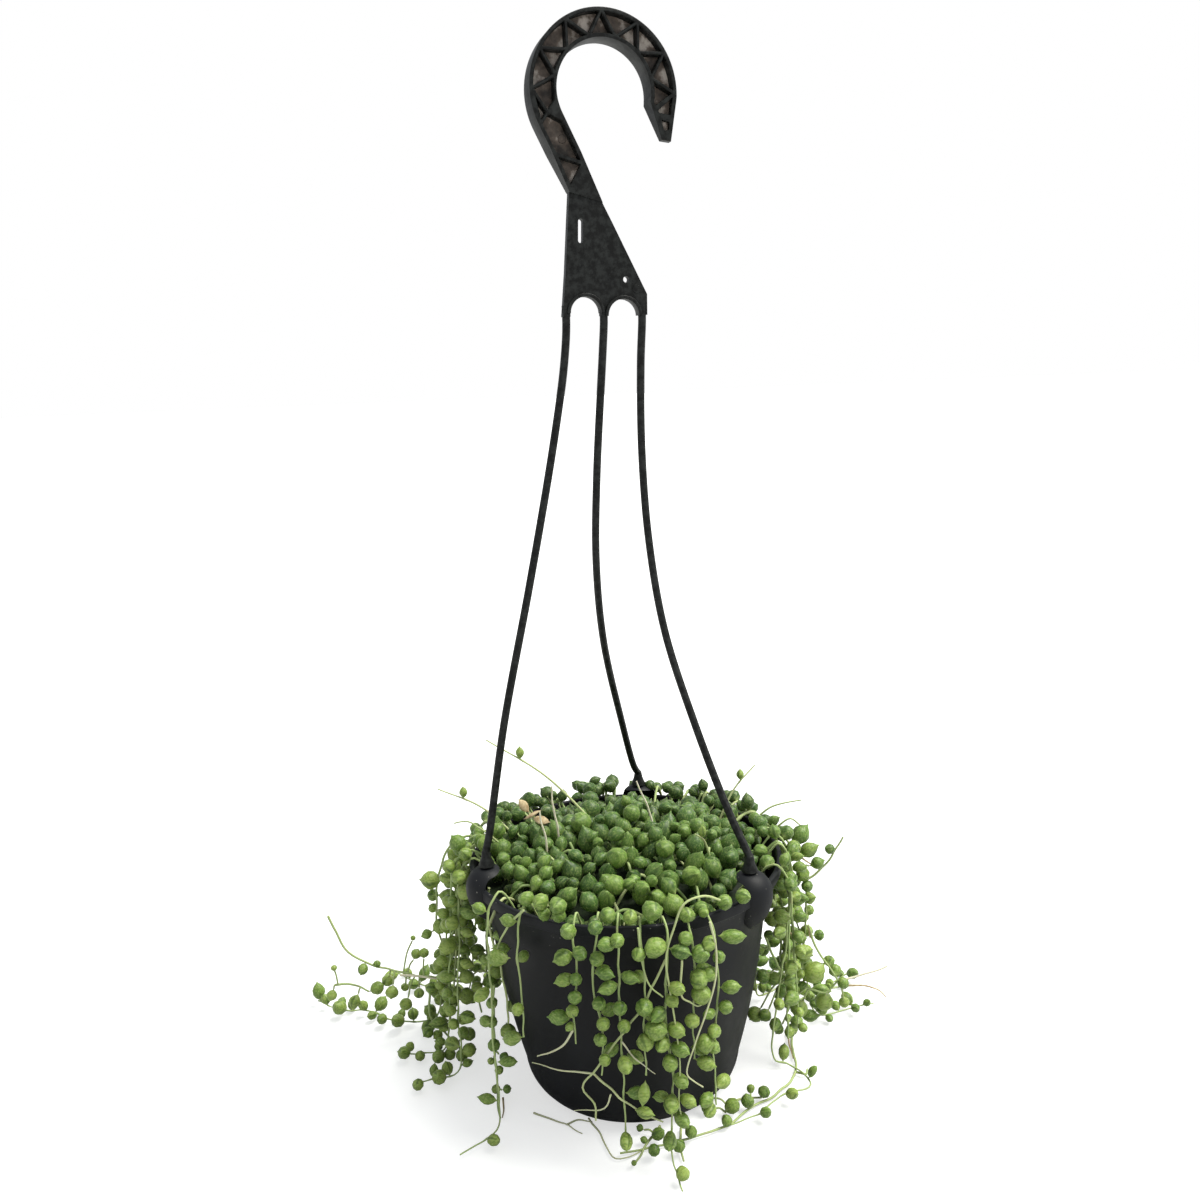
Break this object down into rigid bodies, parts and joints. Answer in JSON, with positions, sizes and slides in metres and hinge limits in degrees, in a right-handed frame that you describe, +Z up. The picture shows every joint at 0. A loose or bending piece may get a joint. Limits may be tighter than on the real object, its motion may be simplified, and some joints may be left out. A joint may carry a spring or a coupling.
{
  "type": "potted string of pearls",
  "caption": "Round hanging pot with a rigid three-strand hook hanger, filled with soil and a trailing succulent whose bead-like leaves hang over the rim.",
  "frame": {"origin": "centre of the pot's flat base, on the surface that the pot stands on", "axes": "+Z up along the pot's axis and the hanger, +X to the right as seen from the front, +Y to the back"},
  "size_m": [0.3327, 0.2088, 0.5264],
  "materials": {
    "pot_plastic": "matte moulded polypropylene, charcoal black",
    "hanger_plastic": "satin moulded polypropylene, black",
    "potting_soil": "dark crumbly peat and grit, matte",
    "pearl_leaf": "smooth waxy succulent leaf, satin"
  },
  "bodies": {
    "root": {"pot": "pot_plastic", "hanger": "hanger_plastic", "soil": "potting_soil", "pearl_mat": "pearl_leaf", "string_01": "pearl_leaf", "string_02": "pearl_leaf", "string_03": "pearl_leaf", "string_04": "pearl_leaf", "string_05": "pearl_leaf", "string_06": "pearl_leaf", "string_07": "pearl_leaf", "string_08": "pearl_leaf", "string_09": "pearl_leaf", "string_10": "pearl_leaf", "string_11": "pearl_leaf", "string_12": "pearl_leaf", "string_13": "pearl_leaf", "string_14": "pearl_leaf", "string_15": "pearl_leaf", "string_16": "pearl_leaf", "string_17": "pearl_leaf", "string_18": "pearl_leaf", "string_19": "pearl_leaf", "string_20": "pearl_leaf", "string_21": "pearl_leaf", "string_22": "pearl_leaf", "string_23": "pearl_leaf", "string_24": "pearl_leaf"}
  },
  "joints": []
}
